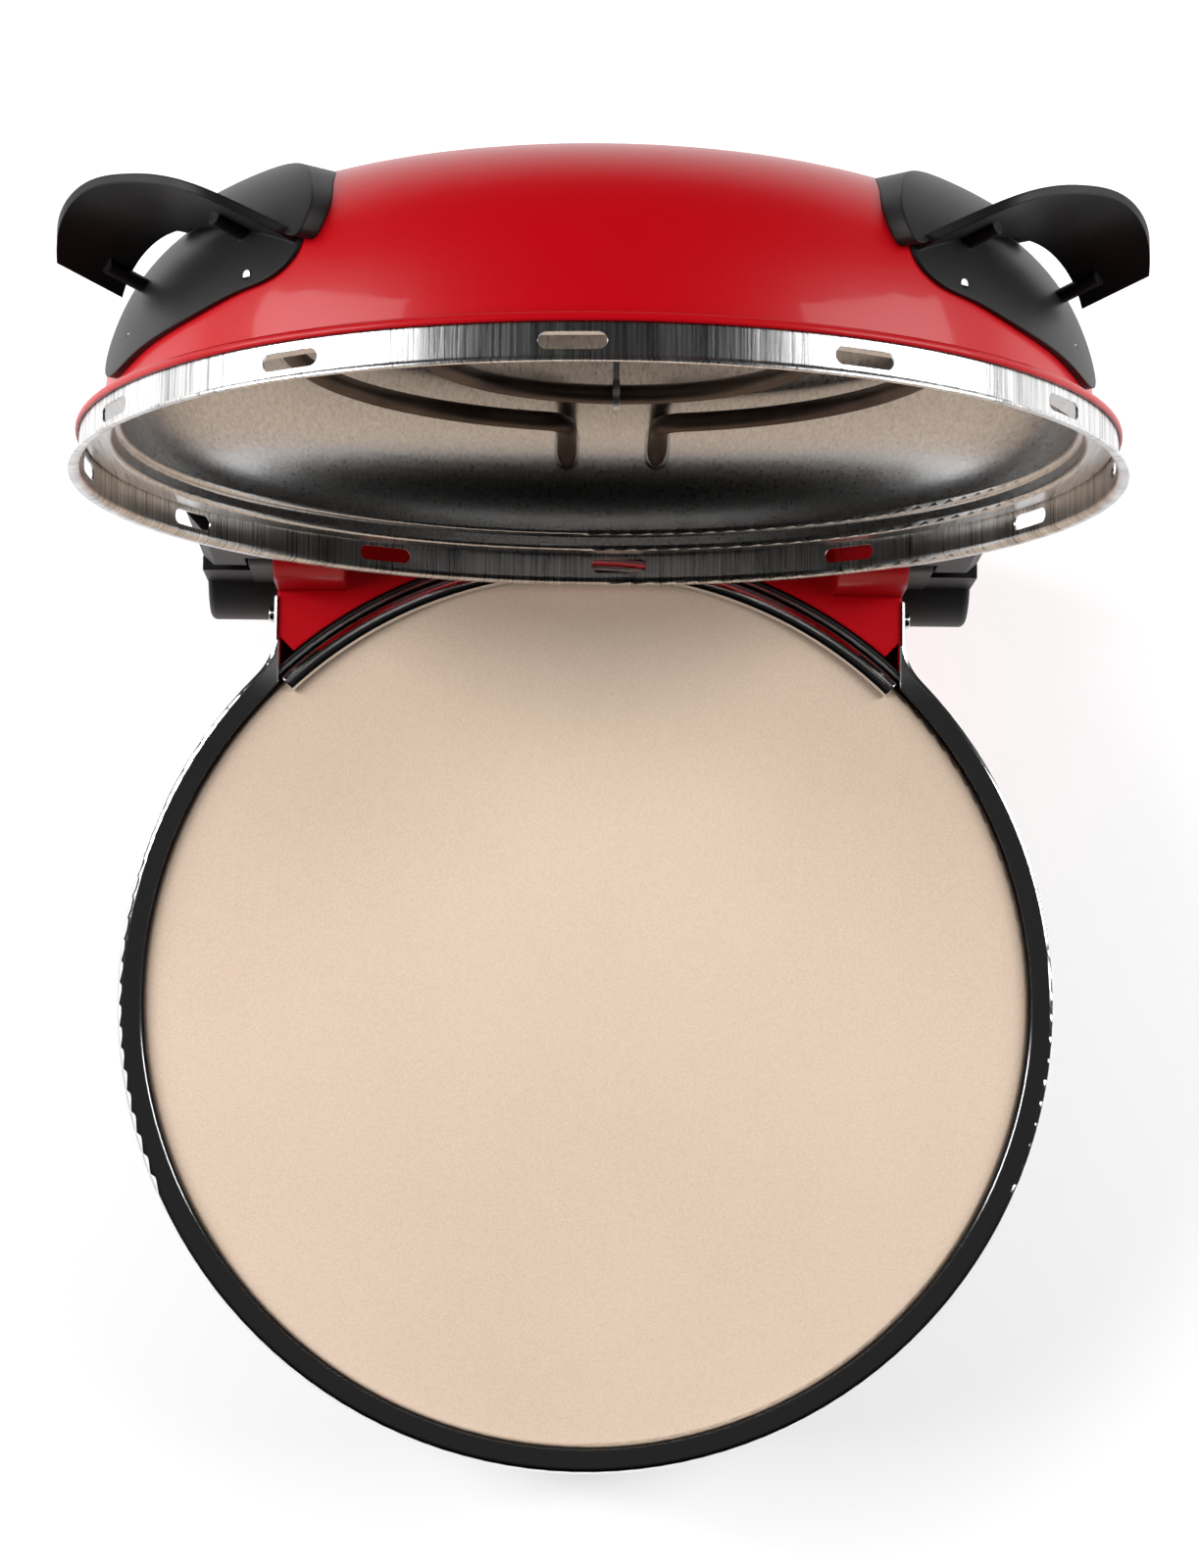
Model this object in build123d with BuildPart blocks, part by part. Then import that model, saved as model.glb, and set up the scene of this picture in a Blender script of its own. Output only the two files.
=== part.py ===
"""Countertop pizza oven with a round stone, its domed lid standing open.

Millimetres, +Z up. The origin is on the table, under the middle of the stone.
The controls face -Y and the lid's hinge is at the back, towards +Y.
The lid's pieces are drawn on planes of the closed lid, which on_lid() turns to the open lid.
"""

import os
from math import cos, pi, radians, sin, sqrt

from build123d import *

os.makedirs("parts", exist_ok=True)

# ---------------------------------------------------------------- driving dimensions
rim_top = 98.0  # the rim band's top above the table
rim_r = 164.0  # outer radius of the rim band and of the lid's lip
band_t = 1.2  # polished strip that the rim band is rolled from
steel = 1.0  # pressed sheet of the pan, tray and lid shell
tin = 0.8  # thinner sheet of the lid's reflector
touch = 0.2  # gap between pieces that are only set side by side

stone_r = 155.0
stone_t = 12.0
stone_drop = 3.5  # the stone's top below the rim

pan_r = 160.0
pan_floor = 24.0  # underside of the pan
pan_flat_r = 126.0  # radius of the pan's flat bottom
pan_shoulder = 66.0  # where the pan's taper meets its upright wall

lid_gap = 1.0  # the closed lid's lip above the rim
lid_height = 87.0  # lip to crown
bead_r = 162.1  # outer radius of the shell's rolled edge
band_r = 160.8  # outer radius of the slotted band
band_h = 11.6  # lip to the red shell's edge
dome_r = 153.5  # the shell's radius where its curve begins
dome_full = 0.80  # fullness of the shell's curve, 0.55 for a part of an ellipse
bowl_r = 148.0
bowl_start = 15.0  # lip to the edge of the bowl
bowl_height = 64.0  # lip to the top of the bowl
bowl_full = 0.642
slot_count = 12
slot_l = 19.0
slot_h = 5.0
slot_up = 6.3  # lip to the middle of the slots
slot_turn = -3.5  # degrees that the first slot stands off the front

tube_r = 3.25  # heating element sheath
upper_loop_r = 104.0
upper_inner_r = 62.0
upper_up = 45.0  # lip to the middle of the upper element
leg_half = 15.5  # half the distance between an element's two legs
lower_loop_r = 104.0
lower_inner_r = 62.0

hinge_y = 159.8
hinge_up = 16.3  # hinge axis above the rim
open_angle = 91.4
pin_r = 4.0
run_fit = 0.05  # radial, between a pin and the bore that turns on it

tower_x = 110.5  # half width of the hinge tower
tower_back_y = 186.0
tower_t = 1.2
tower_drop = 1.5  # the tower's top below the rim
knuckle_r = 16.0
knuckle_l = 24.5
cheek_r = 10.5
cheek_t = 9.0
barrel_r = 21.0
barrel_l = 26.0
barrel_z = 62.0
arm_x = 136.0  # outer face of the lid's arms
arm_eye_r = 10.0
arm_h = 32.0

foot_r = 12.0
pad_h = 3.0
foot_front = 76.0
foot_rear = (92.0, 166.0)

box_x = 62.0  # half width of the control housing
box_front = 146.0
box_low, box_high = 22.0, 58.0
box_t = 2.4
knob_x = 34.0
knob_z = 38.0
knob_r = 12.0
knob_l = 11.0
shaft_r = 3.0

# ---------------------------------------------------------------- worked-out places
hinge_z = rim_top + hinge_up
stone_top = rim_top - stone_drop
stone_low = stone_top - stone_t
tower_top = rim_top - tower_drop
lid_z = rim_top + lid_gap  # the closed lid's lip
tray_r = pan_r - steel - touch
tray_floor = stone_low - 18.0
upper_z = lid_z + upper_up
lower_z = stone_low - 9.5
band_depth = 14.0
plate_t = 1.2
floor_z = pan_floor - plate_t  # underside of the bottom plate and the tower's floor

opened = Location((0, hinge_y, hinge_z), (-open_angle, 0, 0)) * Location((0, -hinge_y, -hinge_z))


def on_lid(plane):
    """The plane of the closed lid, turned with the lid to where it stands open."""
    return Plane(opened * plane.location)


lid_base = on_lid(Plane.XY.offset(lid_z))  # the lip's plane
lid_side = on_lid(Plane((0, 0, lid_z), x_dir=(1, 0, 0), z_dir=(0, -1, 0)))  # section: x from the axis, y up
lid_axis = Axis(lid_base.origin, lid_base.z_dir)


def keep(part, name):
    """Name a finished piece and write it."""
    part.label = name
    export_step(part, f"parts/{name}.step")


def dome_line(radius, low, high, full):
    """A dome's section, upright at its edge and level at its crown."""
    return Bezier((radius, low), (radius, low + full * (high - low)), (full * radius, high), (0, high))


def bent_sheet(points, radii, thickness, side):
    """Section of a sheet that is bent along the points, thickened to one side."""
    with BuildSketch(Plane.XY) as section:
        with BuildLine():
            path = FilletPolyline(*points, radius=radii)
            offset(path, amount=thickness, side=side)
        make_face()
    return section.sketch


def screw(plane, length, head_r=3.0, head_h=2.0, shank_r=1.5):
    """A pan-head screw: its head stands on the plane, and its shank runs down from it."""
    with BuildPart() as piece:
        with BuildSketch(plane):
            Circle(shank_r)
        extrude(amount=-length)
        with BuildSketch(plane):
            Circle(head_r)
        extrude(amount=head_h, taper=15)
    return piece.part


def tube(path, radius):
    """A round bar or wire along a path."""
    with BuildPart() as piece:
        with BuildSketch(Plane(origin=path @ 0, z_dir=path % 0)):
            Circle(radius)
        sweep(path=path, transition=Transition.ROUND)
    return piece.part


# ---------------------------------------------------------------- base pan and what closes it
window_x = 46.0
window_z = (27.0, 55.0)
plate_r = 92.0
plate_hole_r = 84.0
screw_ring = (plate_r + plate_hole_r) / 2
pan_bend = 12.0
tongue_screws = [(-50, 108), (50, 108)]  # where the hinge tower's floor is fixed under the pan
pan_line = [(pan_flat_r, pan_floor), (pan_r, pan_shoulder)]
taper = Vector(pan_r - pan_flat_r, 0, pan_shoulder - pan_floor).normalized()

control_screw_x, control_screw_z = 52.0, 45.0
wall_r = pan_flat_r + (control_screw_z - pan_floor) * taper.X / taper.Z
wall_y = -sqrt(wall_r**2 - control_screw_x**2)
control_screw_planes = []  # square to the pan's sloping wall, on its inner face
for x in (-control_screw_x, control_screw_x):
    inward = Vector(-x / wall_r * taper.Z, -wall_y / wall_r * taper.Z, taper.X)
    control_screw_planes.append(Plane(Vector(x, wall_y, control_screw_z) + inward * (steel + 0.1), z_dir=inward))
with BuildPart() as control_screws:
    add([screw(plane, 9, head_r=2.6) for plane in control_screw_planes])
keep(control_screws.part, "control_screws")

with BuildPart() as pan_block:  # the pan's outside as one lump, for cutting its neighbours
    with BuildSketch(Plane.XZ):
        with BuildLine():
            wall = FilletPolyline((0, pan_floor), *pan_line, (pan_r, rim_top), radius=pan_bend)
            Polyline(wall @ 1, (0, rim_top), (0, pan_floor))
        make_face()
    revolve(axis=Axis.Z)

with BuildPart() as base_pan:
    with BuildSketch(Plane.XZ):
        add(bent_sheet([(plate_hole_r, pan_floor), *pan_line, (pan_r, rim_top - band_t)], pan_bend, steel, Side.LEFT))
    revolve(axis=Axis.Z)
    with BuildSketch(Plane.XY.offset(window_z[0])):
        with Locations((0, -140), (0, 140)):
            Rectangle(2 * window_x, 60)
    extrude(amount=window_z[1] - window_z[0], mode=Mode.SUBTRACT)
    with BuildSketch(Plane.XY.offset(pan_floor)):
        with PolarLocations(screw_ring, 4, start_angle=45):
            Circle(1.5)
    extrude(amount=steel, mode=Mode.SUBTRACT)
    with BuildSketch(Plane.XY.offset(pan_floor)):
        with Locations(*tongue_screws):
            Circle(1.5)
    extrude(amount=steel, mode=Mode.SUBTRACT)
    add(control_screws.part, mode=Mode.SUBTRACT)
keep(base_pan.part, "base_pan")

with BuildPart() as bottom_plate:
    with BuildSketch(Plane.XY.offset(floor_z)):
        Circle(plate_r)
        with PolarLocations(screw_ring, 4, start_angle=45):
            Circle(1.5, mode=Mode.SUBTRACT)
        for ring, count in ((25, 6), (45, 12), (62, 16)):
            with PolarLocations(ring, count):
                SlotOverall(9, 3, rotation=90, mode=Mode.SUBTRACT)
    extrude(amount=plate_t)
keep(bottom_plate.part, "bottom_plate")

plate_screw_planes = [
    Plane((place.position.X, place.position.Y, floor_z), z_dir=(0, 0, -1))
    for place in PolarLocations(screw_ring, 4, start_angle=45).locations
]
with BuildPart() as plate_screws:
    add([screw(plane, plate_t + steel + 3) for plane in plate_screw_planes])
keep(plate_screws.part, "plate_screws")

# ---------------------------------------------------------------- rim band
arm_out = tower_x + band_t  # outer face of the band where it lies along the tower
bend_r = 22.0  # bend from the ring into each arm
bend_y = sqrt((rim_r + bend_r) ** 2 - (arm_out + bend_r) ** 2)
arm_end = hinge_y - 18.0
flange_w = 8.3
flange_end = 126.0
arm_flange_x = 109.6
rivet_y, rivet_z = 136.0, rim_top - 7.0

with BuildLine(Plane.XY.offset(rim_top)) as band_path:
    meet = Vector(arm_out + bend_r, bend_y) * (rim_r / (rim_r + bend_r))
    Line((-arm_out, arm_end), (-arm_out, bend_y))
    RadiusArc((-arm_out, bend_y), (-meet.X, meet.Y), bend_r)
    ThreePointArc((-meet.X, meet.Y), (0, -rim_r), (meet.X, meet.Y))
    RadiusArc((meet.X, meet.Y), (arm_out, bend_y), bend_r)
    Line((arm_out, bend_y), (arm_out, arm_end))

with BuildPart() as rim_band:
    with BuildSketch(Plane(origin=(-arm_out, arm_end, rim_top), x_dir=(1, 0, 0), z_dir=(0, -1, 0))):
        add(bent_sheet([(0, -band_depth), (0, 0), (flange_w, 0)], 2.2, band_t, Side.RIGHT))
    sweep(path=band_path.wire())
    with BuildSketch(Plane.XY.offset(rim_top - band_depth)):
        with Locations((0, 110)):
            Rectangle(2 * arm_flange_x, 40)
        with Locations((0, flange_end + 30)):
            Rectangle(2 * tower_x, 60)
    extrude(amount=band_depth + 1, mode=Mode.SUBTRACT)
    for s in (-1, 1):
        with BuildSketch(Plane.YZ.offset(s * arm_out)):
            with Locations((rivet_y, rivet_z)):
                Circle(1.6)
        extrude(amount=-s * band_t, mode=Mode.SUBTRACT)
keep(rim_band.part, "rim_band")

# ---------------------------------------------------------------- stone, tray and guard
with BuildPart() as pizza_stone:
    with BuildSketch(Plane.XY.offset(stone_low)):
        Circle(stone_r)
    extrude(amount=stone_t)
    fillet(pizza_stone.edges(), 1.5)
keep(pizza_stone.part, "pizza_stone")

ledge_r = stone_r - 8.0
tray_line = [(0, tray_floor), (ledge_r - 11, tray_floor), (ledge_r, stone_low - steel)]
leg_hole_r = tube_r + 1.0
with BuildPart() as stone_tray:
    with BuildSketch(Plane.XZ):
        add(
            bent_sheet(
                [*tray_line, (tray_r, stone_low - steel), (tray_r, rim_top - band_t - touch)],
                [6, 2, 2],
                steel,
                Side.LEFT,
            )
        )
    revolve(axis=Axis.Z)
    with BuildSketch(Plane.XZ.offset(-120)):
        with Locations((-leg_half, lower_z), (leg_half, lower_z)):
            Circle(leg_hole_r)
    extrude(amount=-35, mode=Mode.SUBTRACT)
keep(stone_tray.part, "stone_tray")

guard_in, guard_out = 150.0, 156.8
guard_up = 1.0  # the guard's crest above the rim
guard_half = 44.0  # degrees that the guard reaches each side of the back
guard_t = 1.0
guard_line = [
    (guard_in, stone_top + 0.6),
    (guard_in, rim_top + guard_up),
    (guard_out, rim_top + guard_up),
    (guard_out, stone_low + 1.0),
]
with BuildPart() as rear_guard:
    with BuildSketch(Plane((0, 0, 0), x_dir=(sin(radians(guard_half)), cos(radians(guard_half)), 0),
                           z_dir=(cos(radians(guard_half)), -sin(radians(guard_half)), 0))):
        add(bent_sheet(guard_line, 3.0, guard_t, Side.RIGHT))
    revolve(axis=Axis.Z, revolution_arc=2 * guard_half)
keep(rear_guard.part, "rear_guard")


def ring_element(plane, outer_r, inner_r, leg_end, leg_drop, radius=tube_r):
    """A two-ring tubular heater: two legs, an outer ring in two halves, and an inner ring joined by U-bends."""
    turn_r = (outer_r - inner_r) / 2
    turn_mid = (outer_r + inner_r) / 2
    turn_angle = radians(21)
    bend = 10.0
    leg_y = sqrt((outer_r + bend) ** 2 - (leg_half + bend) ** 2)
    join = Vector(leg_half + bend, leg_y) * (outer_r / (outer_r + bend))
    turn_out = Vector(sin(turn_angle), -cos(turn_angle)) * outer_r
    turn_in = Vector(sin(turn_angle), -cos(turn_angle)) * inner_r
    tip = Vector(sin(turn_angle), -cos(turn_angle)) * turn_mid - Vector(cos(turn_angle), sin(turn_angle)) * turn_r
    with BuildLine() as path:
        Spline(
            (leg_half, leg_end, leg_drop), (leg_half, leg_y, 0), tangents=[(0, leg_y - leg_end, -leg_drop), (0, -1, 0)],
        )
        RadiusArc((leg_half, leg_y), (join.X, join.Y), -bend)
        ThreePointArc((join.X, join.Y), (outer_r, 0), (turn_out.X, turn_out.Y))
        ThreePointArc((turn_out.X, turn_out.Y), (tip.X, tip.Y), (turn_in.X, turn_in.Y))
        ThreePointArc((turn_in.X, turn_in.Y), (inner_r, 0), (0, inner_r))
        mirror(about=Plane.YZ)
    return tube(path.wire(), radius).moved(plane.location)


# ---------------------------------------------------------------- lower element
lower_leg_end = 152.0
lower_element = ring_element(Plane.XY.offset(lower_z), lower_loop_r, lower_inner_r, lower_leg_end, 0)
keep(lower_element, "lower_element")

clip_w = 8.0
clip_low = tray_floor + steel
with BuildPart() as element_posts:  # three posts under the outer ring, each top grooved for the tube
    with BuildSketch(Plane.XY.offset(clip_low)):
        with PolarLocations(lower_loop_r, 3, start_angle=30):
            Rectangle(12, clip_w)
    extrude(amount=lower_z - clip_low)
    add(lower_element, mode=Mode.SUBTRACT)
keep(element_posts.part, "element_posts")

fuse_y = -60.0
fuse_r = 3.0
with BuildPart() as thermal_fuse:  # a cut-out held against the underside of the tray
    with BuildSketch(Plane.YZ.offset(-14)):
        with Locations((fuse_y, tray_floor - fuse_r)):
            Circle(fuse_r)
    extrude(amount=28)
    with BuildSketch(Plane.YZ.offset(-20)):
        with Locations((fuse_y, tray_floor - fuse_r)):
            Circle(0.8)
    extrude(amount=40)
keep(thermal_fuse.part, "thermal_fuse")

# ---------------------------------------------------------------- hinge tower
tip_x, tip_y = 104.4, 122.3  # front corners of the tower's top
corner = tower_x - tip_x
top_front_r = sqrt(tip_x**2 + tip_y**2)
floor_front = 98.0
knuckle_in = tower_x - knuckle_l

with BuildPart() as hinge_tower:
    with BuildSketch(Plane.XY.offset(tower_top - tower_t)):  # top, with a hollow front that follows the stone
        with BuildLine():
            Polyline(
                (-tip_x, tip_y), (-tower_x, tip_y + corner), (-tower_x, tower_back_y),
                (tower_x, tower_back_y), (tower_x, tip_y + corner), (tip_x, tip_y),
            )
            ThreePointArc((tip_x, tip_y), (0, top_front_r), (-tip_x, tip_y))
        make_face()
    extrude(amount=tower_t)
    for s in (-1, 1):  # sides
        with BuildSketch(Plane.XZ.offset(-tower_back_y)):
            with Locations((s * (tower_x - tower_t / 2), (floor_z + tower_top) / 2)):
                Rectangle(tower_t, tower_top - floor_z)
        extrude(amount=tower_back_y - 60)
    with BuildSketch(Plane.XY.offset(floor_z)):  # floor, with a tongue under the pan
        with Locations((0, (floor_front + tower_back_y) / 2)):
            Rectangle(2 * tower_x, tower_back_y - floor_front)
    extrude(amount=plate_t)
    for s in (-1, 1):  # knuckles round the hinge pins
        with BuildSketch(Plane.YZ.offset(s * knuckle_in)):
            with Locations((hinge_y, hinge_z)):
                Circle(knuckle_r)
            with Locations((hinge_y, (hinge_z + tower_top - tower_t) / 2)):
                Rectangle(2 * knuckle_r, hinge_z - tower_top + tower_t)
        extrude(amount=s * knuckle_l)
    add(pan_block.part, mode=Mode.SUBTRACT)
    for s in (-1, 1):
        with BuildSketch(Plane.YZ.offset(s * (knuckle_in + tower_t))):
            with Locations((hinge_y, hinge_z)):
                Circle(knuckle_r - tower_t)
            with Locations((hinge_y, (hinge_z + tower_top) / 2 - tower_t)):
                Rectangle(2 * (knuckle_r - tower_t), hinge_z - tower_top + 2 * tower_t)
        extrude(amount=s * (knuckle_l - 2 * tower_t), mode=Mode.SUBTRACT)
        with BuildSketch(Plane.YZ.offset(s * tower_x)):
            with Locations((hinge_y, hinge_z)):
                Circle(pin_r)
            with Locations((rivet_y, rivet_z)):
                Circle(1.6)
            with Locations((hinge_y - 9, barrel_z - 6), (hinge_y + 9, barrel_z + 6)):
                Circle(1.7)
        extrude(amount=-s * tower_t, mode=Mode.SUBTRACT)
    with BuildSketch(Plane.XY.offset(floor_z)):
        with Locations(*tongue_screws):
            Circle(1.5)
    extrude(amount=plate_t, mode=Mode.SUBTRACT)
keep(hinge_tower.part, "hinge_tower")

back_t = 1.5
gland_x, gland_z = 70.0, 44.0
gland_r = 6.0
with BuildPart() as tower_back:  # the tower's rear cover, let in between its floor and top
    with BuildSketch(Plane.XZ.offset(-(tower_back_y - back_t))):
        with Locations((0, (floor_z + plate_t + tower_top - tower_t) / 2)):
            Rectangle(2 * (tower_x - tower_t), tower_top - tower_t - floor_z - plate_t)
        with Locations((gland_x, gland_z)):
            Circle(gland_r, mode=Mode.SUBTRACT)
        with Locations((-60, 50), (0, 50), (-60, 60), (0, 60), (-60, 70), (0, 70)):
            SlotOverall(40, 3, mode=Mode.SUBTRACT)
        with Locations((-100, 36), (100, 36), (-100, 84), (100, 84)):
            Circle(1.5, mode=Mode.SUBTRACT)
    extrude(amount=-back_t)
keep(tower_back.part, "tower_back")

with BuildPart() as tower_screws:
    add([screw(Plane((x, tower_back_y, z), z_dir=(0, 1, 0)), 8) for x in (-100, 100) for z in (36, 84)])
    add([screw(Plane((x, y, floor_z), z_dir=(0, 0, -1)), plate_t + steel + 3) for x, y in tongue_screws])
    add([screw(Plane((s * (tower_x - tower_t), hinge_y + d, barrel_z + d * 2 / 3), z_dir=(-s, 0, 0)), 12,
               shank_r=1.7) for s in (-1, 1) for d in (-9, 9)])
keep(tower_screws.part, "tower_screws")

cord_r = 3.6
with BuildPart() as cord_gland:
    with BuildSketch(Plane.XZ.offset(-tower_back_y)):
        with Locations((gland_x, gland_z)):
            Circle(gland_r + 3)
    extrude(amount=-3, taper=12)
    with BuildSketch(Plane.XZ.offset(-tower_back_y)):
        with Locations((gland_x, gland_z)):
            Circle(gland_r)
    extrude(amount=14)
    with BuildSketch(Plane.XZ.offset(-tower_back_y - 3)):
        with Locations((gland_x, gland_z)):
            Circle(cord_r)
    extrude(amount=17, mode=Mode.SUBTRACT)
keep(cord_gland.part, "cord_gland")

with BuildPart() as arm_rivets:
    for s in (-1, 1):
        head_seat = Plane((s * arm_out, rivet_y, rivet_z), z_dir=(s, 0, 0))
        add(screw(head_seat, band_t + tower_t + 1, head_r=3.2, head_h=1.8, shank_r=1.6))
keep(arm_rivets.part, "arm_rivets")

# ---------------------------------------------------------------- hinge brackets and pins
stop_y = hinge_y - 5.0  # rear face of the stop that the open lid leans on
stop_w = 5.0
pin_in = tower_x - tower_t - 3.0
pin_out = arm_x - 2.0

with BuildPart() as hinge_bracket_right:
    with BuildSketch(Plane.YZ.offset(tower_x)):
        with Locations((hinge_y, barrel_z)):
            Circle(barrel_r)
    extrude(amount=barrel_l)
    fillet(hinge_bracket_right.edges().filter_by(GeomType.CIRCLE).sort_by(Axis.X)[-1], 2.5)
    with BuildSketch(Plane.YZ.offset(tower_x)):
        with Locations((hinge_y, hinge_z)):
            Circle(cheek_r)
        with Locations((hinge_y, (hinge_z + barrel_z) / 2)):
            Rectangle(2 * cheek_r, hinge_z - barrel_z)
    extrude(amount=cheek_t)
    with BuildSketch(Plane.XY.offset(barrel_z)):
        with Locations((tower_x + (cheek_t + barrel_l) / 2, stop_y - stop_w / 2)):
            Rectangle(barrel_l - cheek_t, stop_w)
    extrude(amount=hinge_z - arm_eye_r - 1.5 - barrel_z)
    with BuildSketch(Plane.YZ.offset(tower_x)):
        with Locations((hinge_y, hinge_z)):
            Circle(pin_r)
    extrude(amount=cheek_t, mode=Mode.SUBTRACT)
    with BuildSketch(Plane.YZ.offset(tower_x)):
        with Locations((hinge_y - 9, barrel_z - 6), (hinge_y + 9, barrel_z + 6)):
            Circle(1.7)
    extrude(amount=12, mode=Mode.SUBTRACT)
keep(hinge_bracket_right.part, "hinge_bracket_right")

with BuildPart() as hinge_bracket_left:
    mirror(hinge_bracket_right.part, about=Plane.YZ)
keep(hinge_bracket_left.part, "hinge_bracket_left")

with BuildPart() as hinge_pins:
    for s in (-1, 1):
        with BuildSketch(Plane.YZ.offset(s * pin_in)):
            with Locations((hinge_y, hinge_z)):
                Circle(pin_r)
        extrude(amount=s * (pin_out - pin_in))
        with BuildSketch(Plane.YZ.offset(s * pin_in)):
            with Locations((hinge_y, hinge_z)):
                Circle(pin_r + 2.5)
        extrude(amount=s * 3)
keep(hinge_pins.part, "hinge_pins")

# ---------------------------------------------------------------- feet
foot_spots = [(-foot_front, -foot_front), (foot_front, -foot_front)]
rear_spots = [(-foot_rear[0], foot_rear[1]), (foot_rear[0], foot_rear[1])]
with BuildPart() as feet:
    for spots, top in ((foot_spots, pan_floor), (rear_spots, floor_z)):
        with BuildSketch(Plane.XY.offset(pad_h)):
            with Locations(*spots):
                Circle(foot_r - 1)
        extrude(amount=top - pad_h, taper=-2)
keep(feet.part, "feet")

with BuildPart() as foot_pads:
    with BuildSketch(Plane.XY):
        with Locations(*foot_spots, *rear_spots):
            Circle(foot_r - 1.5)
    extrude(amount=pad_h)
    chamfer(foot_pads.faces().group_by(Axis.Z)[0].edges(), 0.6)
keep(foot_pads.part, "foot_pads")

# ---------------------------------------------------------------- controls under the front of the rim
lens_r = 4.0
shaft_hole_r = shaft_r + 1.0
with BuildPart() as control_box:
    with BuildSketch(Plane.XZ.offset(box_front)):
        with Locations((0, (box_low + box_high) / 2)):
            RectangleRounded(2 * box_x, box_high - box_low, 6)
    extrude(amount=-40)
    fillet(control_box.faces().sort_by(Axis.Y)[0].edges(), 2.0)
    with BuildSketch(Plane.XZ.offset(box_front - box_t)):
        with Locations((0, (box_low + box_high) / 2)):
            RectangleRounded(2 * (box_x - box_t), box_high - box_low - 2 * box_t, 3.6)
    extrude(amount=-40, mode=Mode.SUBTRACT)
    for plane in control_screw_planes:  # bosses
        with BuildSketch(plane):
            Circle(3.5)
        extrude(amount=-steel - 13)
    add(pan_block.part, mode=Mode.SUBTRACT)
    add(control_screws.part, mode=Mode.SUBTRACT)
    with BuildSketch(Plane.XZ.offset(box_front)):
        with Locations((-knob_x, knob_z), (knob_x, knob_z)):
            Circle(shaft_hole_r)
        with Locations((0, knob_z)):
            Circle(lens_r)
    extrude(amount=-box_t, mode=Mode.SUBTRACT)
keep(control_box.part, "control_box")

body_w, body_h, body_d = 19.0, 19.0, 22.0
bore_d = 12.0
shaft_front = box_front + knob_l - 2
for name, x in (("thermostat", -knob_x), ("timer", knob_x)):
    inner = Plane((x, -(box_front - box_t), knob_z), z_dir=(0, 1, 0))
    with BuildPart() as control_body:
        with BuildSketch(inner):
            if name == "timer":
                Circle(body_h / 2)
            else:
                Rectangle(body_w, body_h)
        extrude(amount=body_d)
        with BuildSketch(inner):
            Circle(shaft_r + run_fit)
        extrude(amount=bore_d, mode=Mode.SUBTRACT)
    keep(control_body.part, name + "_body")
    with BuildPart() as control_shaft:
        with BuildSketch(Plane((x, -shaft_front, knob_z), z_dir=(0, 1, 0))):
            Circle(shaft_r)
        extrude(amount=shaft_front - (box_front - box_t) + bore_d - 1)
    keep(control_shaft.part, name + "_shaft")
    with BuildPart() as control_knob:
        with BuildSketch(Plane((x, -box_front - 1, knob_z), z_dir=(0, -1, 0))):
            Circle(knob_r)
        extrude(amount=2.5)
        with BuildSketch(Plane((x, -box_front - 3.5, knob_z), z_dir=(0, -1, 0))):
            Circle(knob_r - 2.5)
        extrude(amount=knob_l - 2.5, taper=3)
        fillet(control_knob.edges().group_by(Axis.Y)[0], 1.2)
        with BuildSketch(Plane((x, -box_front - knob_l, knob_z), z_dir=(0, -1, 0))):
            with Locations((0, knob_r - 6)):
                Rectangle(1.6, 7)
        extrude(amount=1, mode=Mode.SUBTRACT)
        add(control_shaft.part, mode=Mode.SUBTRACT)
    keep(control_knob.part, name + "_knob")

with BuildPart() as pilot_lens:
    with BuildSketch(Plane.XZ.offset(box_front - box_t)):
        with Locations((0, knob_z)):
            Circle(lens_r)
    extrude(amount=box_t + 2)
    fillet(pilot_lens.edges().sort_by(Axis.Y)[0], 1.5)
keep(pilot_lens.part, "pilot_lens")

with BuildPart() as pilot_lamp:
    with BuildSketch(Plane.XZ.offset(box_front - box_t - 0.2)):
        with Locations((0, knob_z)):
            Circle(3)
    extrude(amount=-14)
keep(pilot_lamp.part, "pilot_lamp")

# ---------------------------------------------------------------- terminal block and leads in the tower
block_x, block_y = 70.0, 158.0
lead_r = 1.6
with BuildPart() as terminal_block:
    with BuildSketch(Plane.XY.offset(floor_z + plate_t)):
        with Locations((block_x, block_y)):
            Rectangle(34, 18)
    extrude(amount=9)
    with BuildSketch(Plane.XY.offset(floor_z + plate_t + 9)):
        with Locations((block_x - 11, block_y), (block_x, block_y), (block_x + 11, block_y)):
            Rectangle(9, 12)
    extrude(amount=5)
keep(terminal_block.part, "terminal_block")

with BuildPart() as base_leads:  # from the lower element's two ends to the block
    for x, port in ((-leg_half, block_x - 11), (leg_half, block_x)):
        with BuildLine() as lead_path:
            Spline(
                (x, lower_leg_end, lower_z),
                (x, lower_leg_end + 1, lower_z - 6.5),
                (x, lower_leg_end - 4, lower_z - 16),
                ((x + port) / 2, block_y + 3, 45), (port, block_y, floor_z + plate_t + 14 + lead_r),
                tangents=[(0, 1, 0), (0.5, 0, -1)],
            )
        add(tube(lead_path.wire(), lead_r))
keep(base_leads.part, "base_leads")


# ---------------------------------------------------------------- lid sheet metal
def dome_reach(radius, low, high, full, z):
    """A dome's radius at a height above the lip."""
    near, far = 0.0, 1.0
    for _ in range(30):
        t = (near + far) / 2
        rise = 3 * (1 - t) ** 2 * t * full + 3 * (1 - t) * t**2 + t**3
        near, far = (t, far) if low + rise * (high - low) < z else (near, t)
    return radius * ((1 - t) ** 3 + 3 * (1 - t) ** 2 * t + 3 * (1 - t) * t**2 * full)


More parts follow.
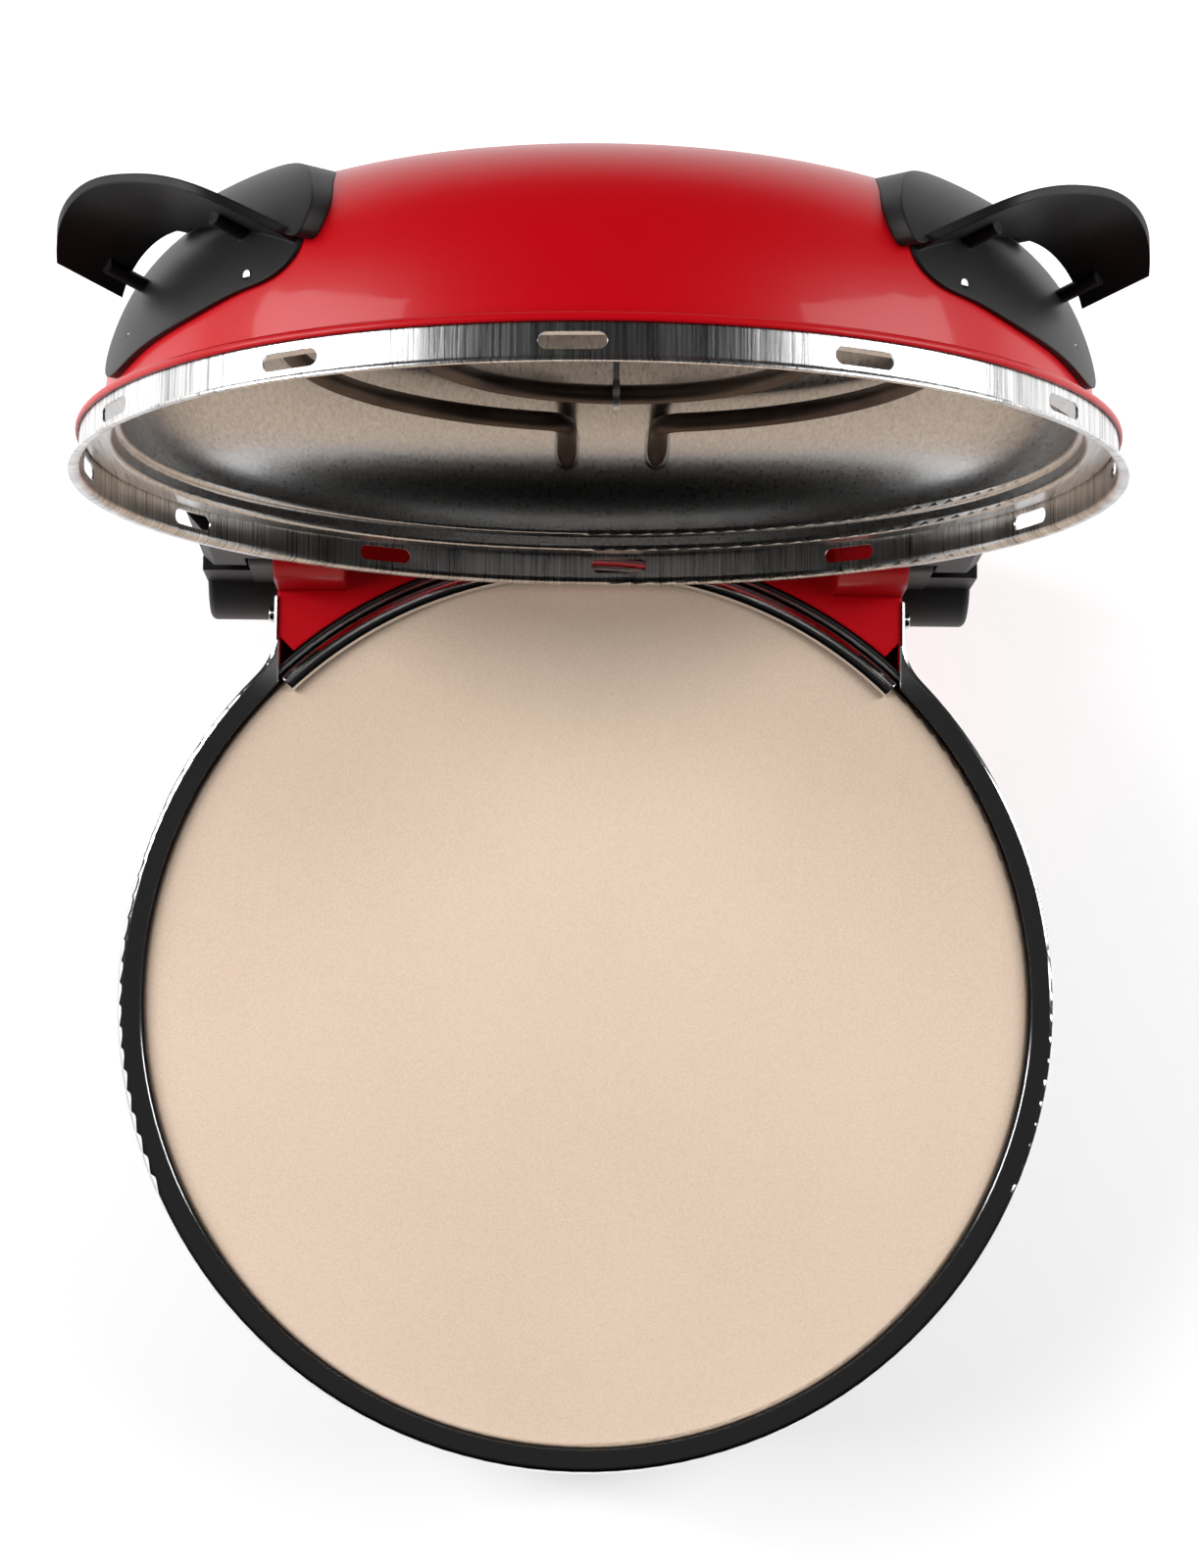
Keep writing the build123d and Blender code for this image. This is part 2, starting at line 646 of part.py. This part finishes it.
def lid_radial(azimuth, radius, z, outward=True):
    """A plane square to a radius of the lid, its x axis along the rim and its y axis up."""
    a = radians(azimuth)
    d = 1 if outward else -1
    spot = (radius * cos(a), radius * sin(a), lid_z + z)
    return on_lid(Plane(spot, x_dir=(-d * sin(a), d * cos(a), 0), z_dir=(d * cos(a), d * sin(a), 0)))


bead = 2.7
dome_low = band_h + bead  # lip to where the shell's curve begins
outer_dome = (dome_r, dome_low, lid_height, dome_full)
inner_dome = (dome_r - steel, dome_low, lid_height - steel, dome_full)

with BuildPart() as lid_lump:  # the closed lid's outside as one lump, for cutting what is fixed to it
    with BuildSketch(lid_side):
        with BuildLine():
            dome = dome_line(*outer_dome)
            lump_r, lump_top = rim_r + 0.5, dome_low + 0.5
            Polyline(dome @ 1, (0, -20), (lump_r, -20), (lump_r, lump_top), (dome_r, lump_top), dome @ 0)
        make_face()
    revolve(axis=lid_axis)

arm_screw_spots = [(a, z) for a in (36.0, 144.0) for z in (22.0, 31.0)]
handle_azimuth = 50.0  # each handle's middle, from the front
handle_screw_spots = [
    (-90 + s * (handle_azimuth + a), z) for s in (-1, 1) for a, z in ((-8, 36.0), (16, 30.0))
]


def lid_screws(spots, length):
    """Screws from inside the shell into whatever stands outside it."""
    with BuildPart() as screws:
        for azimuth, z in spots:
            add(screw(lid_radial(azimuth, dome_reach(*inner_dome, z) - 0.5, z, outward=False), length))
    return screws.part


arm_screws = lid_screws(arm_screw_spots, 10)
keep(arm_screws, "arm_screws")
handle_screws = lid_screws(handle_screw_spots, 3.2)
keep(handle_screws, "handle_screws")

with BuildPart() as lid_shell:
    with BuildSketch(lid_side):
        with BuildLine():
            outside = dome_line(*outer_dome)
            inside = dome_line(*inner_dome)
            Line(outside @ 1, inside @ 1)
            hem_r = band_r + touch
            Polyline(
                inside @ 0, (dome_r - steel, dome_low - steel), (hem_r, dome_low - steel), (hem_r, band_h),
                (bead_r - 0.3, band_h),
            )
            ThreePointArc((bead_r - 0.3, band_h), (bead_r, band_h + bead / 2), (bead_r - 0.8, dome_low))
            Line((bead_r - 0.8, dome_low), outside @ 0)
        make_face()
    revolve(axis=lid_axis)
    add(arm_screws, mode=Mode.SUBTRACT)
    add(handle_screws, mode=Mode.SUBTRACT)
keep(lid_shell.part, "lid_shell")

band_top = 13.0
band_in = band_r - tin
with BuildPart() as slotted_band:  # a flared lip, and a wall with vents round it
    with BuildSketch(lid_side):
        add(bent_sheet([(rim_r, 0), (band_in, 0), (band_in, band_top)], 2.4, tin, Side.RIGHT))
    revolve(axis=lid_axis)
    for i in range(slot_count):
        with BuildSketch(lid_radial(-90 + slot_turn + 360 / slot_count * i, band_in - 5, slot_up)):
            SlotOverall(slot_l, slot_h)
        extrude(amount=12, mode=Mode.SUBTRACT)
keep(slotted_band.part, "slotted_band")

ledge_z = 10.0
step_r = 150.5
bowl_edge = bowl_start + 2.5
leg_shift = (6.5, 3.0)
with BuildPart() as lid_reflector:
    with BuildSketch(lid_side):
        with BuildLine():
            near = FilletPolyline(
                (band_in, band_top), (band_in, ledge_z), (step_r, ledge_z), (step_r, bowl_start),
                (bowl_r, bowl_start), (bowl_r, bowl_edge), radius=[1.6, 1.6, 0.8, 1.6],
            )
            dome_line(bowl_r, bowl_edge, bowl_height, bowl_full)
            Line((0, bowl_height), (0, bowl_height + tin))
            dome_line(bowl_r + tin, bowl_edge, bowl_height + tin, bowl_full)
            far = FilletPolyline(
                (bowl_r + tin, bowl_edge), (bowl_r + tin, bowl_start + tin), (step_r + tin, bowl_start + tin),
                (step_r + tin, ledge_z + tin), (band_in - tin, ledge_z + tin), (band_in - tin, band_top),
                radius=[0.8, 1.6, 0.8, 0.8],
            )
            Line(far @ 1, near @ 0)
        make_face()
    revolve(axis=lid_axis)
    for x in (leg_shift[0] - leg_half, leg_shift[0] + leg_half):
        with BuildSketch(on_lid(Plane((x, 90, lid_z + 42), x_dir=(1, 0, 0), z_dir=(0, 1, 0)))):
            SlotOverall(12.5, 2 * leg_hole_r, rotation=90)
        extrude(amount=55, mode=Mode.SUBTRACT)
    with BuildSketch(on_lid(Plane.XY.offset(upper_z))):
        with Locations((leg_shift[0], upper_inner_r + leg_shift[1])):
            Circle(1.2)
    extrude(amount=30, mode=Mode.SUBTRACT)
keep(lid_reflector.part, "lid_reflector")

# ---------------------------------------------------------------- upper element
upper_plane = on_lid(Plane((*leg_shift, upper_z)))
upper_element = ring_element(upper_plane, upper_loop_r, upper_inner_r, 138, -5)
keep(upper_element, "upper_element")

with BuildPart() as element_flange:  # lies on the back of the bowl and grips both legs
    with BuildSketch(lid_side):
        with BuildLine():
            low_face = dome_line(bowl_r + tin, bowl_edge, bowl_height + tin, bowl_full)
            top_face = dome_line(bowl_r + tin + 2.5, bowl_edge, bowl_height + tin + 2.5, bowl_full)
            Line(low_face @ 0, top_face @ 0)
            Line(low_face @ 1, top_face @ 1)
        make_face()
    revolve(axis=lid_axis)
    with BuildSketch(on_lid(Plane((leg_shift[0], 90, lid_z + 41), x_dir=(1, 0, 0), z_dir=(0, 1, 0)))):
        RectangleRounded(52, 16, 4)
    extrude(amount=60, mode=Mode.INTERSECT)
    add(upper_element, mode=Mode.SUBTRACT)
keep(element_flange.part, "element_flange")

wire_r = 1.2
with BuildPart() as element_clip:  # a wire eye round the inner ring, on a stem riveted through the bowl
    clip_place = (leg_shift[0], upper_inner_r + leg_shift[1], upper_z)
    clip_plane = on_lid(Plane(clip_place, x_dir=(0, 1, 0), z_dir=(1, 0, 0)))
    with BuildSketch(clip_plane):
        Circle(tube_r + 2 * wire_r)
        Circle(tube_r + 0.1, mode=Mode.SUBTRACT)
    extrude(amount=wire_r, both=True)
    stem = on_lid(Plane((leg_shift[0], upper_inner_r + leg_shift[1], upper_z + tube_r + wire_r)))
    with BuildSketch(stem):
        Circle(wire_r)
    extrude(amount=14)
    with BuildSketch(on_lid(Plane((leg_shift[0], upper_inner_r + leg_shift[1], lid_z + 62.9)))):
        Circle(2.6)
    extrude(amount=1.2)
    add(lid_reflector.part, mode=Mode.SUBTRACT)
keep(element_clip.part, "element_clip")

# ---------------------------------------------------------------- lid arms
arm_in = tower_x + band_t + touch
arm_eye_in = tower_x + cheek_t + 0.7  # the eye starts clear of the bracket's cheek
arm_low = hinge_z - arm_eye_r
arm_high = arm_low + arm_h
arm_bevel = 4.7
with BuildPart() as hinge_arm_right:
    with BuildSketch(on_lid(Plane.YZ.offset(arm_in))):
        with BuildLine():
            Polyline(
                (hinge_y, arm_low), (74, arm_low), (74, arm_high - 8), (125, arm_high), (hinge_y - 8, arm_high),
                (hinge_y + 6.5, hinge_z + sqrt(arm_eye_r**2 - 6.5**2)),
            )
            ThreePointArc(
                (hinge_y + 6.5, hinge_z + sqrt(arm_eye_r**2 - 6.5**2)),
                (hinge_y + arm_eye_r * cos(0.4), hinge_z - arm_eye_r * sin(0.4)),
                (hinge_y, arm_low),
            )
        make_face()
        with BuildLine():
            Polyline((hinge_y + 6, hinge_z + 3), (hinge_y + 18, hinge_z + 3), (hinge_y + 18, hinge_z - 4.5),
                     (hinge_y + 6, hinge_z - 4.5), close=True)
        make_face()
    extrude(amount=arm_x - arm_in)
    with BuildSketch(on_lid(Plane.XZ.offset(-hinge_y - 20))):
        Polygon((arm_x - arm_bevel, arm_low), (arm_x, arm_low), (arm_x, arm_low + arm_bevel), align=None)
    extrude(amount=120, mode=Mode.SUBTRACT)
    add(lid_lump.part, mode=Mode.SUBTRACT)
    with BuildSketch(on_lid(Plane.YZ.offset(tower_x))):
        with Locations((hinge_y - 11.5 + 25, hinge_z)):
            Rectangle(50, 60)
    extrude(amount=arm_eye_in - tower_x, mode=Mode.SUBTRACT)
    with BuildSketch(on_lid(Plane.YZ.offset(tower_x))):
        with Locations((hinge_y, hinge_z)):
            Circle(pin_r + run_fit)
    extrude(amount=pin_out + 0.3 - tower_x, mode=Mode.SUBTRACT)
    add(arm_screws, mode=Mode.SUBTRACT)
keep(hinge_arm_right.part, "hinge_arm_right")

with BuildPart() as hinge_arm_left:
    mirror(hinge_arm_right.part, about=Plane.YZ)
keep(hinge_arm_left.part, "hinge_arm_left")

# ---------------------------------------------------------------- handles
# Seen square to the lid's side: x runs towards the lid's front, y up from the lip.
pad_outline = [
    (38, 46), (36, 37.5), (31, 34), (20, 31.7), (3, 28.5), (-14, 26), (-34, 23.3), (-50, 21), (-61, 22.5),
    (-67, 28), (-64, 40), (-52, 56), (-36, 67), (-18, 73), (2, 73), (20, 69), (33, 60),
]
lobe_outline = [
    (43, 46), (41, 57), (36, 63), (27, 70), (16, 74.3), (0, 77), (-13, 77), (-28, 73), (-34, 64), (-20, 62),
    (-4, 61), (15, 56.5), (30, 50),
]
wing_line = [(38, 46), (28.5, 49.5), (15, 54), (-5, 59), (-30, 59), (-42, 51), (-46, 44)]
wing_t = 2.6
wing_squeeze = 0.96  # its underside is that much shorter
wing_tilt = 15.0
wing_root = 146.0  # from the lid's axis to where the wing's line is taken
rib_spots = [(13, 50.5), (-41, 47)]
rib_r = 2.3
# Seen from above the lip: x as before, y out from the lid's axis.
ear_outline = [
    (41, 141), (34, 160), (26, 171), (12, 175), (-10, 175.5), (-31, 176.5), (-43, 174), (-48, 166), (-49, 150),
]
pad_t, lobe_t = 3.5, 8.0
side_azimuth = -handle_azimuth - 90


def over_dome(outline, thickness):
    """A pad that lies on the shell, its outline given in the handle's side view."""
    with BuildPart() as pad:
        with BuildSketch(lid_side):
            with BuildLine():
                under = dome_line(dome_r - 3, 0, lid_height - 3, dome_full)
                over = dome_line(dome_r + thickness, 0, lid_height + thickness, dome_full)
                Line(over @ 1, under @ 1)
                Line(over @ 0, under @ 0)
            make_face()
        revolve(axis=lid_axis)
        with BuildSketch(lid_radial(side_azimuth, 70, 0)):
            with BuildLine():
                Spline(*outline, periodic=True)
            make_face()
        extrude(amount=120, mode=Mode.INTERSECT)
    return pad.part


side = lid_radial(side_azimuth, wing_root, 0)
outwards = side.z_dir * cos(radians(wing_tilt)) + side.y_dir * sin(radians(wing_tilt))
side_turn = radians(handle_azimuth)
with BuildPart() as wing:
    with BuildSketch(side):
        with BuildLine():
            hook = Spline(*wing_line)
            under = Spline(*[(x * wing_squeeze, z - wing_t) for x, z in wing_line])
            Line(hook @ 0, under @ 0)
            Line(hook @ 1, under @ 1)
        make_face()
    extrude(amount=40, dir=outwards)
    lip_plane = Plane((0, 0, lid_z), x_dir=(cos(side_turn), -sin(side_turn), 0), z_dir=(0, 0, -1))
    with BuildSketch(on_lid(lip_plane)):
        with BuildLine():
            edge = Spline(*ear_outline)
            Line(edge @ 1, edge @ 0)
        make_face()
    extrude(amount=-150, mode=Mode.INTERSECT)

with BuildPart() as handle_left:
    add(over_dome(pad_outline, pad_t))
    add(over_dome(lobe_outline, lobe_t))
    add(wing.part)
    for x, y in rib_spots:  # under the wing
        with BuildSketch(Plane(side.from_local_coords((x, y, 0)) - outwards * 14, z_dir=outwards)):
            Circle(rib_r)
        extrude(amount=26)
    add(lid_lump.part, mode=Mode.SUBTRACT)
    add(handle_screws, mode=Mode.SUBTRACT)
keep(handle_left.part, "handle_left")

with BuildPart() as handle_right:
    mirror(handle_left.part, about=Plane.YZ)
keep(handle_right.part, "handle_right")
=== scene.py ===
"""Countertop pizza oven with its domed lid open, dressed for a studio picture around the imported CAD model."""

from math import radians

import bmesh
import bpy
from mathutils import Matrix, Vector

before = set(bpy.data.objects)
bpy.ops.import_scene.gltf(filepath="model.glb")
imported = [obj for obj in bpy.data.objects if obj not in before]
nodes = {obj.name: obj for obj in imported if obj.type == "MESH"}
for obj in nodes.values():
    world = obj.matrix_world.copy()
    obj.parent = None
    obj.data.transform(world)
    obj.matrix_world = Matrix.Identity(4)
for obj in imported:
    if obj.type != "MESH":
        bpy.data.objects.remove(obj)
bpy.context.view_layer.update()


# The base pan is a pressed steel bowl with a black baked finish, closed underneath by a vented plate.
# Screws, shafts, the tray and the posts are plain zinc-plated steel.
class Signal:
    """A value or colour in a material, so that shader maths reads as Python."""

    def __init__(self, paint, socket):
        self.paint = paint
        self.socket = socket

    def maths(self, operation, *others):
        inputs = dict(enumerate((self, *others)))
        return self.paint.node("Math", {"operation": operation}, inputs)[0]

    def __add__(self, other):
        return self.maths("ADD", other)

    def __sub__(self, other):
        return self.maths("SUBTRACT", other)

    def __rsub__(self, other):
        return self.maths("MULTIPLY_ADD", -1.0, other)

    def __mul__(self, other):
        return self.maths("MULTIPLY", other)

    __radd__ = __add__
    __rmul__ = __mul__


class Outputs:
    """A node's outputs as signals, by name or number."""

    def __init__(self, paint, made):
        self.paint = paint
        self.made = made

    def __getitem__(self, name):
        return Signal(self.paint, self.made.outputs[name])


class Paint:
    """A material under construction, around one Principled shader."""

    def __init__(self, name, **fixed):
        self.material = bpy.data.materials.new(name)
        self.material.use_nodes = True
        self.tree = self.material.node_tree
        self.shader = self.tree.nodes["Principled BSDF"]
        self.place = self.node("TexCoord")["Object"]
        for socket, value in fixed.items():
            self.feed(self.shader, socket.replace("_", " "), value)

    def feed(self, made, name, value):
        if isinstance(value, Signal):
            self.tree.links.new(value.socket, made.inputs[name])
        else:
            made.inputs[name].default_value = value

    def node(self, kind, settings=None, inputs=None):
        made = self.tree.nodes.new("ShaderNode" + kind)
        for name, value in (settings or {}).items():
            if name == "stops":
                ramp = made.color_ramp.elements
                while len(ramp) < len(value):
                    ramp.new(0.5)
                for element, (position, colour) in zip(ramp, value):
                    element.position = position
                    element.color = (*colour, 1)
            else:
                setattr(made, name, value)
        for name, value in (inputs or {}).items():
            self.feed(made, name, value)
        return Outputs(self, made)

    def noise(self, scale, detail=3.0, roughness=0.5, at=None):
        return self.node("TexNoise", None, {"Vector": at or self.place, "Scale": scale, "Detail": detail,
                                            "Roughness": roughness})["Fac"]

    def stretched(self, scale, at=None, turn=(0, 0, 0)):
        """The place, scaled differently along each axis, for brushed and drawn finishes."""
        return self.node("Mapping", None, {"Vector": at or self.place, "Scale": scale, "Rotation": turn})["Vector"]

    def ramp(self, value, *stops):
        return self.node("ValToRGB", {"stops": stops}, {"Fac": value})["Color"]

    def bump(self, height, distance, strength=1.0, over=None):
        inputs = {"Height": height, "Distance": distance, "Strength": strength}
        if over:
            inputs["Normal"] = over
        return self.node("Bump", None, inputs)["Normal"]

    def softened(self, radius):
        """Shading that rounds off the sharp edges of a sheet or a moulding."""
        return self.node("Bevel", {"samples": 6}, {"Radius": radius})["Normal"]

    def set(self, **changing):
        for socket, value in changing.items():
            self.feed(self.shader, socket.replace("_", " "), value)
        return self.material


def finish(names, material):
    """Gives CAD nodes a finish."""
    for name in names:
        for held in nodes[name].material_slots:
            held.material = material


def grey(level):
    return (level, level, level)


baked_black = Paint("baked black", Base_Color=(*grey(0.018), 1), Roughness=0.42, Coat_Weight=0.2)
baked_black.set(Normal=baked_black.bump(baked_black.noise(900), 0.0002, 0.25, over=baked_black.softened(0.001)))
zinc = Paint("zinc plate", Base_Color=(*grey(0.55), 1), Metallic=1.0)
zinc_streak = zinc.noise(1.0, at=zinc.stretched((120, 700, 700)))
zinc.set(Roughness=zinc_streak * 0.2 + 0.3, Normal=zinc.softened(0.0004))

finish(["base_pan", "tower_back"], baked_black.material)
finish(["bottom_plate", "plate_screws", "tower_screws", "control_screws", "arm_screws", "handle_screws",
        "hinge_pins", "thermostat_shaft", "timer_shaft", "stone_tray", "element_posts", "thermal_fuse",
        "element_flange", "element_clip"], zinc.material)

# The stone is a pressed cordierite disc: matt and beige, with fine grains and a faint cloudiness.
stone = Paint("cordierite", Roughness=0.92)
cloud = stone.noise(9, detail=4)
grain = stone.noise(1400, detail=2)
stone.set(
    Base_Color=stone.ramp(cloud * 0.35 + grain * 0.65, (0.25, (0.66, 0.505, 0.385)), (0.55, (0.755, 0.595, 0.465)),
                          (0.8, (0.80, 0.65, 0.52))),
    Normal=stone.bump(grain, 0.0003, 0.35),
)
finish(["pizza_stone"], stone.material)

# The rim band, the guard behind the stone and the arms' rivets are stainless steel with a mirror polish.
polished = Paint("polished stainless", Base_Color=(*grey(0.78), 1), Metallic=1.0)
wipe = polished.noise(14, detail=5)
polished.set(Roughness=wipe * 0.08 + 0.06, Normal=polished.bump(polished.noise(55, detail=1), 0.0004, 0.06,
                                                                over=polished.softened(0.0008)))
finish(["rim_band", "rear_guard", "arm_rivets"], polished.material)

# The hinge tower is pressed steel in the lid's red stoving enamel.
enamel = Paint("red enamel", Base_Color=(0.47, 0.0015, 0.006, 1), Roughness=0.4, Coat_Weight=0.18,
               Coat_Roughness=0.08, Specular_IOR_Level=0.25)
peel = enamel.noise(260, detail=1)
enamel.set(Normal=enamel.bump(peel, 0.0002, 0.05, over=enamel.softened(0.0015)))
finish(["hinge_tower"], enamel.material)

# Brackets, arms, feet and the control housing are moulded in black thermoset plastic with a fine satin grain.
bakelite = Paint("black plastic", Base_Color=(*grey(0.009), 1), Roughness=0.48, Specular_IOR_Level=0.28)
bakelite.set(Normal=bakelite.bump(bakelite.noise(1500, detail=2), 0.0002, 0.3, over=bakelite.softened(0.001)))
finish(["hinge_bracket_left", "hinge_bracket_right", "hinge_arm_left", "hinge_arm_right", "feet", "control_box",
        "thermostat_knob", "timer_knob", "cord_gland", "handle_left", "handle_right"], bakelite.material)
rubber = Paint("foot rubber", Base_Color=(*grey(0.02), 1), Roughness=0.85)
finish(["foot_pads"], rubber.material)
works = Paint("grey moulding", Base_Color=(*grey(0.2), 1), Roughness=0.6)
finish(["thermostat_body", "timer_body", "pilot_lamp", "terminal_block", "base_leads"], works.material)
amber = Paint("pilot lens", Base_Color=(0.75, 0.08, 0.03, 1), Roughness=0.15, Transmission_Weight=0.4)
finish(["pilot_lens"], amber.material)

# Both heaters are steel-sheathed tubes, browned by heat.
sheath = Paint("heat-browned tube", Metallic=0.75)
scorch = sheath.noise(38, detail=4)
sheath.set(
    Base_Color=sheath.ramp(scorch, (0.3, (0.045, 0.028, 0.02)), (0.7, (0.14, 0.095, 0.065))),
    Roughness=scorch * 0.25 + 0.33,
)
finish(["upper_element", "lower_element"], sheath.material)

# The lid is a deep drawn dome in red enamel, its edge rolled into a bead that grips the slotted band.
finish(["lid_shell"], enamel.material)

# The slotted band round the lip is rolled stainless strip, brushed across its width before it was rolled, so
# that its fine lines run along the lid's axis; its bright and dark colour streaks are partly that brushing and
# partly painted reflection.
lip_height = 0.2744  # of the lid's axis over the table, with the lid open
strip = Paint("brushed strip with painted reflection", Metallic=1.0)
axes = strip.node("SeparateXYZ", None, {"Vector": strip.place})
angle = axes["X"].maths("ARCTAN2", axes["Z"] - lip_height)
around = strip.node("CombineXYZ", None, {"X": angle * 160, "Y": axes["Y"] * 14})["Vector"]
fine = strip.noise(1.0, detail=4, roughness=0.65, at=around)
# Broad bright and dark bands round the lip: painted reflection, not a property of the steel.
broad = strip.noise(1.0, detail=2, at=strip.node("CombineXYZ", None, {"X": angle * 14})["Vector"])
brushing_and_painted_reflection = fine * 0.65 + broad * 0.35
# The base colour swings from dark to bright grey: fine brushing lines plus painted reflection streaks.
strip.set(
    Base_Color=strip.ramp(brushing_and_painted_reflection, (0.36, grey(0.22)), (0.5, grey(0.62)), (0.62, grey(0.9))),
    Roughness=brushing_and_painted_reflection * 0.3 + 0.14,
    Normal=strip.bump(fine, 0.0002, 0.35, over=strip.softened(0.0004)),
)
finish(["slotted_band"], strip.material)

# The reflector inside the lid is a stainless bowl, pressed from sheet that was brushed one way.
bowl = Paint("brushed bowl", Metallic=1.0)
along = bowl.noise(1.0, detail=4, roughness=0.6, at=bowl.stretched((900, 900, 22), turn=(0, radians(34), 0)))
bowl.set(
    Base_Color=bowl.ramp(along, (0.3, grey(0.5)), (0.7, grey(0.74))),
    Roughness=along * 0.2 + 0.2,
    Normal=bowl.bump(along, 0.0001, 0.3),
)
finish(["lid_reflector"], bowl.material)

# The oven stands on a pale table, under broad soft lights.
floor_size = 12.0
floor_mesh = bpy.data.meshes.new("floor")
shape = bmesh.new()
bmesh.ops.create_grid(shape, x_segments=1, y_segments=1, size=floor_size / 2)
shape.to_mesh(floor_mesh)
shape.free()
floor = bpy.data.objects.new("floor", floor_mesh)
bpy.context.scene.collection.objects.link(floor)
table = Paint("pale table", Base_Color=(*grey(0.9), 1), Roughness=0.8, Specular_IOR_Level=0.1,
              Emission_Color=(1, 1, 1, 1), Emission_Strength=0.35)
floor_mesh.materials.append(table.material)

# The studio round it is dark in front and evenly lit elsewhere, so that the bowl's middle stays dark.
world = bpy.data.worlds.new("studio")
world.use_nodes = True
tree = world.node_tree
direction = tree.nodes.new("ShaderNodeTexCoord").outputs["Generated"]
parts = tree.nodes.new("ShaderNodeSeparateXYZ")
tree.links.new(direction, parts.inputs["Vector"])
front = tree.nodes.new("ShaderNodeMapRange")
front.interpolation_type = "SMOOTHSTEP"
for end, value in (("From Min", -0.75), ("From Max", 0.1), ("To Min", 0.03), ("To Max", 0.5)):
    front.inputs[end].default_value = value
tree.links.new(parts.outputs["Y"], front.inputs["Value"])
tree.links.new(front.outputs["Result"], tree.nodes["Background"].inputs["Strength"])
bpy.context.scene.world = world
bpy.context.scene.view_settings.view_transform = "Standard"


def lamp(name, place, aim, size, power, mirrored):
    """A soft box, either seen in polished metal or not."""
    light = bpy.data.lights.new(name, "AREA")
    light.shape = "RECTANGLE"
    light.size, light.size_y = size
    light.energy = power
    held = bpy.data.objects.new(name, light)
    held.visible_glossy = mirrored
    held.location = place
    held.rotation_euler = (Vector(aim) - Vector(place)).to_track_quat("-Z", "Y").to_euler()
    bpy.context.scene.collection.objects.link(held)


above_stone = (0, 0.1, 0.1)
lamp("left soft box", (-1.2, 0.1, 1.2), above_stone, (0.9, 0.9), 15, False)
lamp("right soft box", (1.2, 0.2, 1.2), above_stone, (0.9, 0.9), 12, False)
lamp("left rim box", (-1.3, 0.5, 0.9), above_stone, (0.5, 1.0), 13, True)
lamp("right rim box", (1.3, 0.5, 0.9), above_stone, (0.5, 1.0), 11, True)

# The camera looks down on the open oven from just in front of it, through a long lens.
eye = Vector((-0.0188, -0.0932, 1.547))
subject = Vector((0.00383, 0.0758, 0.098))
roll = radians(0.47)
back = (eye - subject).normalized()
up = (Vector((0, 1, 0)) - back * back.y).normalized()
turned = Matrix.Rotation(roll, 3, back)
facing = Matrix((turned @ up.cross(back), turned @ up, back)).transposed()
lens = bpy.data.cameras.new("camera")
lens.sensor_fit = "VERTICAL"
lens.sensor_height = 36.0
lens.lens = 95.25
camera = bpy.data.objects.new("camera", lens)
camera.matrix_world = Matrix.Translation(eye) @ facing.to_4x4()
bpy.context.scene.collection.objects.link(camera)
bpy.context.scene.camera = camera
